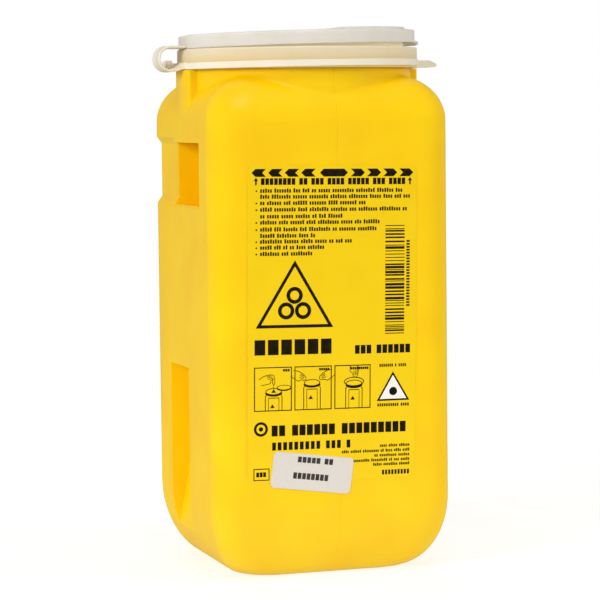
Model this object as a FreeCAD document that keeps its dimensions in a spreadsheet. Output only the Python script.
import FreeCAD, Part
import Sketcher
import math
import os

# Square sharps container with a round neck, a one-piece push-fit collar and a strap-hinged cap.
# Origin: middle of the base, on the surface it stands on. +Z up, -Y is the labelled front, and
# the cap's strap hinge is on the -X side. Millimetres and degrees throughout.

Vector = FreeCAD.Vector
X_AXIS = Vector(1, 0, 0)
Y_AXIS = Vector(0, 1, 0)
Z_AXIS = Vector(0, 0, 1)

doc = FreeCAD.newDocument("SharpsContainer")

# ---------------------------------------------------------------- driving dimensions

DIMENSIONS = {
    # blow-moulded jar
    "jar_width": 101.8,
    "jar_height": 202.5,
    "jar_corner": 14.0,
    "shoulder_round": 18.0,
    "base_inset": 17.5,
    "base_rise": 31.0,
    "jar_wall": 1.3,
    "floor_top": 1.8,
    "neck_radius": 47.2,
    "neck_bore": 46.2,
    "neck_root": 170.0,
    "neck_top": 213.1,
    "neck_blend": 2.4,
    "neck_snap_height": 210.4,
    "neck_snap_size": 0.9,
    "side_pad_radius": 50.8,
    "side_pad_width": 20.0,
    "side_pad_top": 206.0,
    "side_pad_blend": 1.2,
    # finger pockets, bracket band and flutes moulded into the sides
    "pocket_front": -27.5,
    "pocket_back": 11.0,
    "pocket_bottom": 150.7,
    "pocket_top": 176.4,
    "pocket_depth": 14.0,
    "pocket_sill": 1.0,
    "band_depth": 2.0,
    "band_bevel": 2.9,
    "band_bottom": 153.4,
    "band_top": 175.8,
    "flute_front": -7.6,
    "flute_back": 20.9,
    "flute_bottom": 8.5,
    "flute_top": 83.5,
    "flute_depth": 8.5,
    # printed film and the batch sticker on top of it
    "label_width": 71.4,
    "label_length": 127.4,
    "label_corner": 4.0,
    "label_centre": -2.65,
    "label_middle": 103.9,
    "label_turn": 0.81,
    "film_thickness": 0.12,
    "sticker_width": 34.0,
    "sticker_length": 14.6,
    "sticker_corner": 1.8,
    "sticker_centre": -12.0,
    "sticker_middle": 43.8,
    "sticker_turn": 7.8,
    # push-fit collar
    "collar_radius": 50.1,
    "collar_inner": 48.6,
    "collar_bottom": 206.2,
    "collar_top": 214.6,
    "collar_flange": 1.4,
    "collar_bore": 45.0,
    "collar_well": 46.0,
    "well_bottom": 205.0,
    "bead_radius": 50.55,
    "bead_height": 2.6,
    "bead_middle": 208.1,
    "bead_tilt": 0.55,
    # drop opening: a fixed web and three sprung flaps
    "web_thickness": 1.2,
    "web_window": 38.8,
    "flap_thickness": 1.0,
    "flap_reach": 31.0,
    "flap_gap": 0.4,
    "flap_arc": 62.0,
    "flap_arc_centre": 72.0,
    # cap
    "cap_radius": 49.3,
    "cap_wall": 1.4,
    "cap_bottom": 214.7,
    "cap_top": 220.0,
    "cap_edge_round": 0.5,
    "plug_radius": 44.4,
    "plug_wall": 1.4,
    "plug_bottom": 208.2,
    "cap_ajar": 1.15,
    "lip_width": 16.0,
    "lip_reach": 51.3,
    "lip_drop": 1.1,
    "pad_height": 1.2,
    "pad_inner": 6.0,
    "pad_radius": 46.0,
    # strap hinge
    "hinge_x": -56.0,
    "hinge_z": 210.8,
    "strap_width": 11.5,
    "strap_thickness": 1.0,
    "strap_loop": 4.8,
    "strap_x": -55.9,
    "strap_z": 210.7,
    # opening tab on the side away from the hinge
    "tab_width": 13.0,
    "tab_reach": 61.4,
    "tab_bottom": 206.4,
    "tab_top": 209.6,
    # carrying loop folded down behind the collar
    "loop_inner": 51.2,
    "loop_outer": 53.6,
    "loop_thickness": 2.4,
    "loop_pivot_y": 12.0,
    "loop_pivot_z": 208.0,
    "loop_eye": 2.4,
    "peg_radius": 1.25,
    "peg_head": 2.0,
}

sheet = doc.addObject("Spreadsheet::Sheet", "sizes")
for row, (alias, value) in enumerate(DIMENSIONS.items(), start=1):
    sheet.set("A%d" % row, alias)
    sheet.set("B%d" % row, str(value))
    sheet.setAlias("B%d" % row, alias)
doc.recompute()


def size(alias):
    """Value of one sheet cell, for shapes that are set in code."""
    return float(sheet.get(alias))


# ---------------------------------------------------------------- document helpers

nodes = []


def bind(thing, **expressions):
    """Binds properties of an object to expressions; bare aliases are looked up in the sheet."""
    for prop, text in expressions.items():
        words = text.replace("(", " ( ").replace(")", " ) ").split()
        words = ["sizes." + word if word in DIMENSIONS else word for word in words]
        thing.setExpression(prop.replace("__", "."), " ".join(words))
    return thing


def node(thing, label):
    """Marks an object as a sub-part with its own label and file."""
    thing.Label = label
    nodes.append(thing)
    return thing


def box(name, length, width, height, at=("0", "0", "0")):
    """Part::Box whose sides and lowest corner are expressions."""
    made = doc.addObject("Part::Box", name)
    bind(made, Length=length, Width=width, Height=height)
    bind(made, Placement__Base__x=at[0], Placement__Base__y=at[1], Placement__Base__z=at[2])
    return made


def cylinder(name, radius, height, bottom, at=("0", "0")):
    """Upright Part::Cylinder standing on the given level."""
    made = doc.addObject("Part::Cylinder", name)
    bind(made, Radius=radius, Height=height)
    bind(made, Placement__Base__x=at[0], Placement__Base__y=at[1], Placement__Base__z=bottom)
    return made


def cross_pin(name, radius, length, start_x, y, z):
    """Part::Cylinder lying along +X from start_x."""
    made = doc.addObject("Part::Cylinder", name)
    made.Placement.Rotation = FreeCAD.Rotation(Y_AXIS, 90)
    bind(made, Radius=radius, Height=length)
    bind(made, Placement__Base__x=start_x, Placement__Base__y=y, Placement__Base__z=z)
    return made


def cut(name, base, tool):
    """Part::Cut of two objects."""
    made = doc.addObject("Part::Cut", name)
    made.Base = base
    made.Tool = tool
    made.Refine = True
    return made


def fuse(name, shapes):
    """Part::MultiFuse of several objects."""
    made = doc.addObject("Part::MultiFuse", name)
    made.Shapes = shapes
    made.Refine = True
    return made


def common(name, shapes):
    """Part::MultiCommon of several objects."""
    made = doc.addObject("Part::MultiCommon", name)
    made.Shapes = shapes
    made.Refine = True
    return made


def tube(name, outer, inner, height, bottom):
    """Upright ring between two radii."""
    return cut(
        name,
        cylinder(name + "_outside", outer, height, bottom),
        cylinder(name + "_inside", inner, height + " + 2", bottom + " - 1"),
    )


def round_edges(name, base, picks):
    """Part::Fillet; picks is a list of (test on an edge, radius)."""
    doc.recompute()
    made = doc.addObject("Part::Fillet", name)
    made.Base = base
    chosen = []
    for number, edge in enumerate(base.Shape.Edges, start=1):
        for wanted, radius in picks:
            if wanted(edge):
                chosen.append((number, radius, radius))
    made.Edges = chosen
    return made


def upright(edge):
    """True for a straight edge along Z."""
    ends = edge.Vertexes
    return len(ends) == 2 and abs(ends[0].Point.z - ends[1].Point.z) > 1.0


def level_at(height):
    """Test for edges that lie whole at one height."""
    return lambda edge: all(abs(point.z - height) < 1e-4 for point in edge.discretize(5))


def neck_foot(edge):
    """True where the round neck meets the shoulder."""
    bounds = edge.BoundBox
    radii = [math.hypot(point.x, point.y) for point in edge.discretize(7)]
    on_neck = all(abs(radius - size("neck_radius")) < 0.05 for radius in radii)
    return on_neck and bounds.ZMax < size("jar_height") + 1.5 and bounds.ZMin > size("neck_root") + 10


def pad_corner(edge):
    """True for the upright outer edges of the side pads on the neck."""
    bounds = edge.BoundBox
    straight = bounds.XLength < 1e-3 and bounds.YLength < 1e-3
    away = abs(abs(bounds.Center.x) - size("side_pad_radius")) < 2.5
    return straight and away and 8 < edge.Length < 16 and bounds.ZMax < size("side_pad_top") + 1


def shaped(name, shape):
    """Part::Feature with a shape worked out from sheet values."""
    made = doc.addObject("Part::Feature", name)
    made.Shape = shape
    return made


def profile_bar(name, points, front, back):
    """Closed XZ outline pushed along Y from front to back."""
    corners = [Vector(x, front, z) for x, z in points]
    face = Part.Face(Part.makePolygon(corners + corners[:1]))
    return shaped(name, face.extrude(Y_AXIS * (back - front)))


def mirrored(name, source):
    """The same piece on the +X side."""
    made = doc.addObject("Part::Mirroring", name)
    made.Source = source
    made.Normal = X_AXIS
    return made


# ---------------------------------------------------------------- jar: moulded blank

def rounded_jar(name, inset, bottom):
    """Square jar blank with its edges rounded, inset from the outside by a wall."""
    thick = size(inset) if inset else 0.0
    across = "jar_width - 2 * (%s)" % (inset or "0")
    low = "0 - jar_width / 2 + (%s)" % (inset or "0")
    tall = "jar_height - base_rise - (%s)" % (inset or "0")
    blank = box(name + "_box", across, across, tall, (low, low, "base_rise"))
    doc.recompute()
    upper = round_edges(
        name + "_upper",
        blank,
        [
            (upright, size("jar_corner") - thick),
            (level_at(blank.Shape.BoundBox.ZMax), size("shoulder_round") - thick),
        ],
    )
    return fuse(name, [upper, shaped(name + "_base", rounded_base(thick, bottom))])


def rounded_base(wall, floor):
    """Lower end of the jar: rounded squares that shrink along a quarter ellipse."""
    half = size("jar_width") / 2 - wall
    corner = size("jar_corner") - wall
    rise = size("base_rise") - floor
    shrink = size("base_inset") - wall
    rings = []
    for step in range(9):
        turn = math.radians(90.0 * step / 8)
        inset = shrink * (1.0 - math.cos(turn))
        rings.append(square_wire(half - inset, corner, size("base_rise") - rise * math.sin(turn)))
    return Part.makeLoft(rings, True, False)


def square_wire(half, corner, height):
    """Closed rounded-square wire at one height."""
    straight = half - corner
    edges = []
    for quarter in range(4):
        turn = FreeCAD.Rotation(Z_AXIS, 90 * quarter)
        bulge = straight + corner * math.sqrt(0.5)
        middle = Vector(bulge, bulge, height)
        side = Part.LineSegment(
            turn.multVec(Vector(half, -straight, height)), turn.multVec(Vector(half, straight, height))
        )
        bend = Part.Arc(
            turn.multVec(Vector(half, straight, height)),
            turn.multVec(middle),
            turn.multVec(Vector(straight, half, height)),
        )
        edges += [side.toShape(), bend.toShape()]
    return Part.Wire(edges)


def bracket_band(name, wall):
    """Shallow band round the back, between the two pockets; wall grows it for the cavity."""
    half = size("jar_width") / 2
    depth = size("band_depth") + wall
    bevel = size("band_bevel") * depth / size("band_depth")
    low = size("band_bottom") - wall
    high = size("band_top") + wall
    corner = size("jar_corner")
    core = Part.makeLoft(
        [
            square_wire(half, corner, low - bevel),
            square_wire(half - depth, corner - depth, low),
            square_wire(half - depth, corner - depth, high),
            square_wire(half, corner, high + bevel),
        ],
        True,
        True,
    )
    reach = half + 5.0
    block = Part.makeBox(
        2 * reach,
        reach - size("pocket_back") + wall,
        high - low + 2 * bevel,
        Vector(-reach, size("pocket_back") - wall, low - bevel),
    )
    return shaped(name, block.cut(core))


def side_pocket(name, wall):
    """Finger pocket on the -X side with a sloping sill; wall grows it for the cavity."""
    outside = -size("jar_width") / 2
    bottom = size("pocket_bottom") - wall
    top = size("pocket_top") + wall
    inside = outside + size("pocket_depth") + wall
    sill = size("pocket_sill")
    outline = [
        (outside - 5.0, bottom - sill),
        (outside, bottom - sill),
        (outside + sill, bottom),
        (inside - 3.0, bottom - 0.8),
        (inside, bottom + 2.0),
        (inside, top - 2.0),
        (inside - 2.0, top),
        (outside - 5.0, top),
    ]
    return profile_bar(name, outline, size("pocket_front") - wall, size("pocket_back") + wall)


def side_flute(name, wall):
    """Upright flute low on the -X side that runs out into the rounded base."""
    outside = -size("jar_width") / 2
    bottom = size("flute_bottom") - wall
    top = size("flute_top") + wall
    inside = outside + size("flute_depth") + wall
    outline = [
        (outside - 5.0, bottom - 4.0),
        (outside + 1.5 + wall, bottom),
        (inside - 3.0, bottom + 20.0),
        (inside - 0.6, bottom + 34.0),
        (inside, bottom + 46.0),
        (inside, top - 3.5),
        (inside - 2.5, top),
        (outside - 5.0, top),
    ]
    return profile_bar(name, outline, size("flute_front") - wall, size("flute_back") + wall)


def container_body():
    """Hollow jar with neck, snap bead, side pads, pockets, bracket band and flutes."""
    neck = cylinder("neck_outside", "neck_radius", "neck_top - neck_root", "neck_root")
    snap = doc.addObject("Part::Torus", "neck_snap")
    bind(snap, Radius1="neck_radius", Radius2="neck_snap_size", Placement__Base__z="neck_snap_height")
    pad_round = cylinder("side_pad_round", "side_pad_radius", "side_pad_top - neck_root", "neck_root")
    pad_bar = box(
        "side_pad_bar",
        "2 * side_pad_radius + 2",
        "side_pad_width",
        "side_pad_top - neck_root",
        ("0 - side_pad_radius - 1", "0 - side_pad_width / 2", "neck_root"),
    )
    pads = common("side_pads", [pad_round, pad_bar])
    moulded = fuse("jar_outside", [rounded_jar("jar_blank", "", 0.0), neck, snap, pads])
    blended = round_edges("neck_blended", moulded, [(neck_foot, size("neck_blend"))])
    outside = round_edges("pads_blended", blended, [(pad_corner, size("side_pad_blend"))])

    wall = size("jar_wall")
    inner_blank = rounded_jar("cavity_blank", "jar_wall", size("floor_top"))
    bore = cylinder("neck_bore_tool", "neck_bore", "neck_top - neck_root + 5", "neck_root")
    thick_pocket = side_pocket("pocket_backing", wall)
    thick_flute = side_flute("flute_backing", wall)
    backing = fuse(
        "moulded_backing",
        [
            thick_pocket,
            mirrored("pocket_backing_right", thick_pocket),
            thick_flute,
            mirrored("flute_backing_right", thick_flute),
            bracket_band("band_backing", wall),
        ],
    )
    cavity = cut("cavity", fuse("cavity_full", [inner_blank, bore]), backing)

    pocket = side_pocket("finger_pocket", 0.0)
    flute = side_flute("lower_flute", 0.0)
    hollows = fuse(
        "hollows",
        [
            cavity,
            pocket,
            mirrored("finger_pocket_right", pocket),
            flute,
            mirrored("lower_flute_right", flute),
            bracket_band("bracket_band", 0.0),
        ],
    )
    return node(cut("jar", outside, hollows), "container_body")


# ---------------------------------------------------------------- film label and batch sticker

def film_sheet(label, width, length, corner, thickness, base, turn):
    """Rounded rectangle of film: sketch on the body's XZ plane, pad, rounded corners."""
    body = doc.addObject("PartDesign::Body", label + "_film")
    plane = [item for item in body.Origin.OriginFeatures if item.Role == "XZ_Plane"][0]
    sketch = body.newObject("Sketcher::SketchObject", label + "_outline")
    sketch.AttachmentSupport = [(plane, "")]
    sketch.MapMode = "FlatFace"
    half_w = size(width) / 2
    half_l = size(length) / 2
    corners = [
        Vector(-half_w, -half_l, 0),
        Vector(half_w, -half_l, 0),
        Vector(half_w, half_l, 0),
        Vector(-half_w, half_l, 0),
    ]
    for number in range(4):
        sketch.addGeometry(Part.LineSegment(corners[number], corners[(number + 1) % 4]), False)
    for number in range(4):
        sketch.addConstraint(Sketcher.Constraint("Coincident", number, 2, (number + 1) % 4, 1))
    for number in (0, 2):
        sketch.addConstraint(Sketcher.Constraint("Horizontal", number))
        sketch.addConstraint(Sketcher.Constraint("Vertical", number + 1))
    sketch.addConstraint(Sketcher.Constraint("Symmetric", 0, 1, 2, 1, -1, 1))
    wide = sketch.addConstraint(Sketcher.Constraint("DistanceX", 0, 1, 0, 2, size(width)))
    tall = sketch.addConstraint(Sketcher.Constraint("DistanceY", 1, 1, 1, 2, size(length)))
    sketch.renameConstraint(wide, "wide")
    sketch.renameConstraint(tall, "tall")
    bind(sketch, Constraints__wide=width, Constraints__tall=length)
    pad = body.newObject("PartDesign::Pad", label + "_pad")
    pad.Profile = sketch
    bind(pad, Length=thickness)
    doc.recompute()
    fillet = body.newObject("PartDesign::Fillet", label + "_corners")
    short = [
        "Edge%d" % number
        for number, edge in enumerate(pad.Shape.Edges, start=1)
        if abs(edge.Length - size(thickness)) < 1e-4
    ]
    fillet.Base = (pad, short)
    bind(fillet, Radius=corner)
    body.Tip = fillet
    body.Placement = FreeCAD.Placement(base, FreeCAD.Rotation(Y_AXIS, turn))
    return node(body, label)


def films():
    """Film label on the front face and the batch sticker laid over it."""
    front = -size("jar_width") / 2
    film_sheet(
        "front_label",
        "label_width",
        "label_length",
        "label_corner",
        "film_thickness",
        Vector(size("label_centre"), front, size("label_middle")),
        size("label_turn"),
    )
    film_sheet(
        "batch_sticker",
        "sticker_width",
        "sticker_length",
        "sticker_corner",
        "film_thickness",
        Vector(size("sticker_centre"), front - size("film_thickness"), size("sticker_middle")),
        size("sticker_turn"),
    )


# ---------------------------------------------------------------- push-fit collar

def collar():
    """Collar moulding: skirt, top flange and the well that the cap's plug enters."""
    height = "collar_top - collar_bottom"
    under = "collar_top - collar_flange"
    skirt = tube("collar_skirt", "collar_radius", "collar_inner", height, "collar_bottom")
    flange = tube("collar_flange_ring", "collar_radius", "collar_bore", "collar_flange", under)
    well = tube("collar_well_wall", "collar_well", "collar_bore", "collar_top - well_bottom", "well_bottom")
    ring = fuse("collar_ring", [skirt, flange, well])
    doc.recompute()
    rim = size("collar_radius")
    top = level_at(size("collar_top"))
    outer_top = [(lambda edge: top(edge) and edge.BoundBox.XMax > rim - 0.1, 0.5)]
    softened = round_edges("collar_soft", ring, outer_top)
    node(softened, "lid_collar")

    bead = tube("bead_ring", "bead_radius", "collar_radius", "bead_height", "0 - bead_height / 2")
    bead.Placement = FreeCAD.Placement(
        Vector(0, 0, size("bead_middle")), FreeCAD.Rotation(Y_AXIS, -size("bead_tilt"))
    )
    node(bead, "collar_bead")


def drop_opening():
    """Fixed web with a window, filled by three flaps that leave a three-pointed star."""
    plate = cylinder("web_plate", "collar_bore - 0.02", "web_thickness", "well_bottom")
    window_round = cylinder("web_window_round", "web_window", "web_thickness + 2", "well_bottom - 1")
    window_flats = doc.addObject("Part::Prism", "web_window_flats")
    window_flats.Polygon = 3
    window_flats.Placement.Rotation = FreeCAD.Rotation(Z_AXIS, 90)
    bind(window_flats, Circumradius="2 * flap_reach", Height="web_thickness + 2")
    bind(window_flats, Placement__Base__z="well_bottom - 1")
    node(cut("web", plate, common("web_window_shape", [window_round, window_flats])), "opening_web")

    reach = size("flap_reach") - size("flap_gap")
    bottom = size("well_bottom") + (size("web_thickness") - size("flap_thickness")) / 2
    for letter, bearing in (("a", 30.0), ("b", 150.0), ("c", 270.0)):
        turn = FreeCAD.Placement(Vector(), FreeCAD.Rotation(Z_AXIS, bearing))
        lobe = Part.makeCylinder(
            size("flap_arc"), size("flap_thickness"), Vector(size("flap_arc_centre"), 0, bottom)
        )
        disc = Part.makeCylinder(
            size("web_window") - size("flap_gap"), size("flap_thickness"), Vector(0, 0, bottom)
        )
        behind = Part.makeBox(2 * reach, 4 * reach, 4.0, Vector(-reach, -2 * reach, bottom - 1))
        flap = shaped("flap_" + letter, lobe.common(disc).common(behind))
        flap.Placement = turn
        node(flap, "opening_flap_" + letter)


def finger_tab():
    """Tapered tab on the collar, opposite the hinge, for pulling the lid."""
    root = size("collar_radius") - 0.6
    reach = size("tab_reach")
    low = size("tab_bottom")
    high = size("tab_top")
    outline = [(root, low), (reach - 2.7, low + 0.3), (reach, low + 1.0), (reach - 4.5, high), (root, high)]
    half = size("tab_width") / 2
    bar = profile_bar("tab_bar", outline, -half, half)
    tall = "tab_top - tab_bottom + 2"
    nose = cylinder("tab_nose", "14.0", tall, "tab_bottom - 1", ("tab_reach - 14.0", "0"))
    node(common("tab", [bar, nose]), "finger_tab")


def hinge_parts():
    """Lug on the collar and the bent strap that ties it to the cap."""
    half = size("strap_width") / 2
    strap_x = size("strap_x")
    strap_z = size("strap_z")
    loop = size("strap_loop")
    thick = size("strap_thickness") / 2
    root = -size("collar_radius") + 0.5
    low = strap_z - loop - thick
    lug_outline = [
        (root, low + 1.4),
        (root, low + 4.0),
        (root - 1.4, low + 3.6),
        (strap_x + 2.6, low + 1.9),
        (strap_x, low + size("strap_thickness")),
        (strap_x, low),
        (strap_x + 1.8, low + 0.1),
    ]
    node(profile_bar("lug_bar", lug_outline, -half, half), "hinge_lug")

    cap_side = -size("cap_radius") - 0.15
    outer = loop + thick
    inner = loop - thick
    upper = Vector(strap_x, -half, strap_z + outer)
    edges = [
        Part.LineSegment(Vector(cap_side, -half, strap_z + outer), upper).toShape(),
        Part.Arc(
            upper, Vector(strap_x - outer, -half, strap_z), Vector(strap_x, -half, strap_z - outer)
        ).toShape(),
        Part.LineSegment(
            Vector(strap_x, -half, strap_z - outer), Vector(strap_x, -half, strap_z - inner)
        ).toShape(),
        Part.Arc(
            Vector(strap_x, -half, strap_z - inner),
            Vector(strap_x - inner, -half, strap_z),
            Vector(strap_x, -half, strap_z + inner),
        ).toShape(),
        Part.LineSegment(
            Vector(strap_x, -half, strap_z + inner), Vector(cap_side, -half, strap_z + inner)
        ).toShape(),
        Part.LineSegment(
            Vector(cap_side, -half, strap_z + inner), Vector(cap_side, -half, strap_z + outer)
        ).toShape(),
    ]
    ribbon = Part.Face(Part.Wire(edges)).extrude(Y_AXIS * (2 * half))
    node(shaped("strap_ribbon", ribbon), "hinge_strap")


# ---------------------------------------------------------------- cap, drawn shut and then set ajar

def set_ajar(thing):
    """Swings a cap piece about the strap hinge by the angle it stands open."""
    hinge = Vector(size("hinge_x"), 0, size("hinge_z"))
    swing = FreeCAD.Rotation(Y_AXIS, -size("cap_ajar"))
    thing.Placement = FreeCAD.Placement(Vector(), swing, hinge).multiply(thing.Placement)
    return thing


def cap():
    """Cap disc with its skirt, plug ring, finger lip and thumb pad."""
    disc = cylinder("cap_disc", "cap_radius", "cap_wall", "cap_top - cap_wall")
    skirt = tube("cap_skirt", "cap_radius", "cap_radius - cap_wall", "cap_top - cap_bottom", "cap_bottom")
    shell = fuse("cap_shell", [disc, skirt])
    top_edge = level_at(size("cap_top"))
    shell = round_edges("cap_soft", shell, [(top_edge, size("cap_edge_round"))])
    node(set_ajar(shell), "lid_cap")

    tall = "cap_top - cap_wall - plug_bottom"
    plug = tube("plug_ring", "plug_radius", "plug_radius - plug_wall", tall, "plug_bottom")
    node(set_ajar(plug), "cap_plug")

    rim = size("cap_radius")
    low = size("cap_bottom") + 0.05
    outer = size("lip_reach")
    step = size("collar_radius") + 0.35
    half = size("lip_width") / 2
    outline = [
        (rim + 0.03, low),
        (step, low),
        (step, low - size("lip_drop")),
        (outer, low - size("lip_drop") + 0.3),
        (outer, low + 0.5),
        (rim + 0.03, low + 1.3),
    ]
    node(set_ajar(profile_bar("lip_bar", outline, -half, half)), "cap_finger_lip")

    pad_base = size("cap_top")
    pad_rim = size("pad_radius")
    pad_rise = size("pad_height")
    pad_disc = Part.makeCone(pad_rim, pad_rim - pad_rise, pad_rise, Vector(0, 0, pad_base))
    pad_side = Part.makeBox(60.0, 120.0, 5.0, Vector(size("pad_inner"), -60.0, pad_base - 1.0))
    node(set_ajar(shaped("pad_land", pad_disc.common(pad_side))), "cap_thumb_pad")


# ---------------------------------------------------------------- carrying loop and its pegs

def carry_loop():
    """Half-round loop lying behind the collar, with an eye on each end, and its two pegs."""
    centre = ("0", "loop_pivot_y")
    low = "loop_pivot_z - loop_thickness / 2"
    hoop = cut(
        "loop_hoop",
        cylinder("loop_outside", "loop_outer", "loop_thickness", low, centre),
        cylinder("loop_inside", "loop_inner", "loop_thickness + 2", low + " - 1", centre),
    )
    back = box(
        "loop_back",
        "2 * loop_outer + 2",
        "loop_outer + 2",
        "loop_thickness + 2",
        ("0 - loop_outer - 1", "loop_pivot_y", low + " - 1"),
    )
    arc = common("loop_arc", [hoop, back])
    length = "loop_outer - loop_inner"
    eyes = []
    holes = []
    for side, start in (("left", "0 - loop_outer"), ("right", "loop_inner")):
        eyes.append(cross_pin("loop_eye_" + side, "loop_eye", length, start, "loop_pivot_y", "loop_pivot_z"))
        holes.append(
            cross_pin(
                "loop_eye_hole_" + side,
                "peg_radius + 0.25",
                length + " + 2",
                start + " - 1",
                "loop_pivot_y",
                "loop_pivot_z",
            )
        )
    solid = fuse("loop_solid", [arc] + eyes)
    node(cut("loop", solid, fuse("loop_eye_holes", holes)), "carry_loop")

    for side, stem_start, head_start in (
        ("left", "0 - loop_outer - 0.3", "0 - loop_outer - 1.1"),
        ("right", "collar_radius - 2.2", "loop_outer + 0.3"),
    ):
        stem = cross_pin(
            "peg_stem_" + side,
            "peg_radius",
            "loop_outer + 0.3 - (collar_radius - 2.2)",
            stem_start,
            "loop_pivot_y",
            "loop_pivot_z",
        )
        head = cross_pin("peg_head_" + side, "peg_head", "0.8", head_start, "loop_pivot_y", "loop_pivot_z")
        node(fuse("peg_" + side, [stem, head]), "loop_peg_" + side)


# ---------------------------------------------------------------- build, check and write

container_body()
films()
collar()
drop_opening()
finger_tab()
hinge_parts()
cap()
carry_loop()
doc.recompute()

failed = [item.Name for item in doc.Objects if "Invalid" in item.State or "Error" in item.State]
if failed:
    raise RuntimeError("objects that did not rebuild: %s" % failed)

os.makedirs("parts", exist_ok=True)
for part in nodes:
    shape = part.Shape
    if shape.isNull() or not shape.isValid() or len(shape.Solids) != 1:
        raise RuntimeError("bad shape in %s (%d solids)" % (part.Label, len(shape.Solids)))
    shape.exportStep("parts/%s.step" % part.Label)
    print("%-18s %9.1f mm3, %d faces" % (part.Label, shape.Volume, len(shape.Faces)))
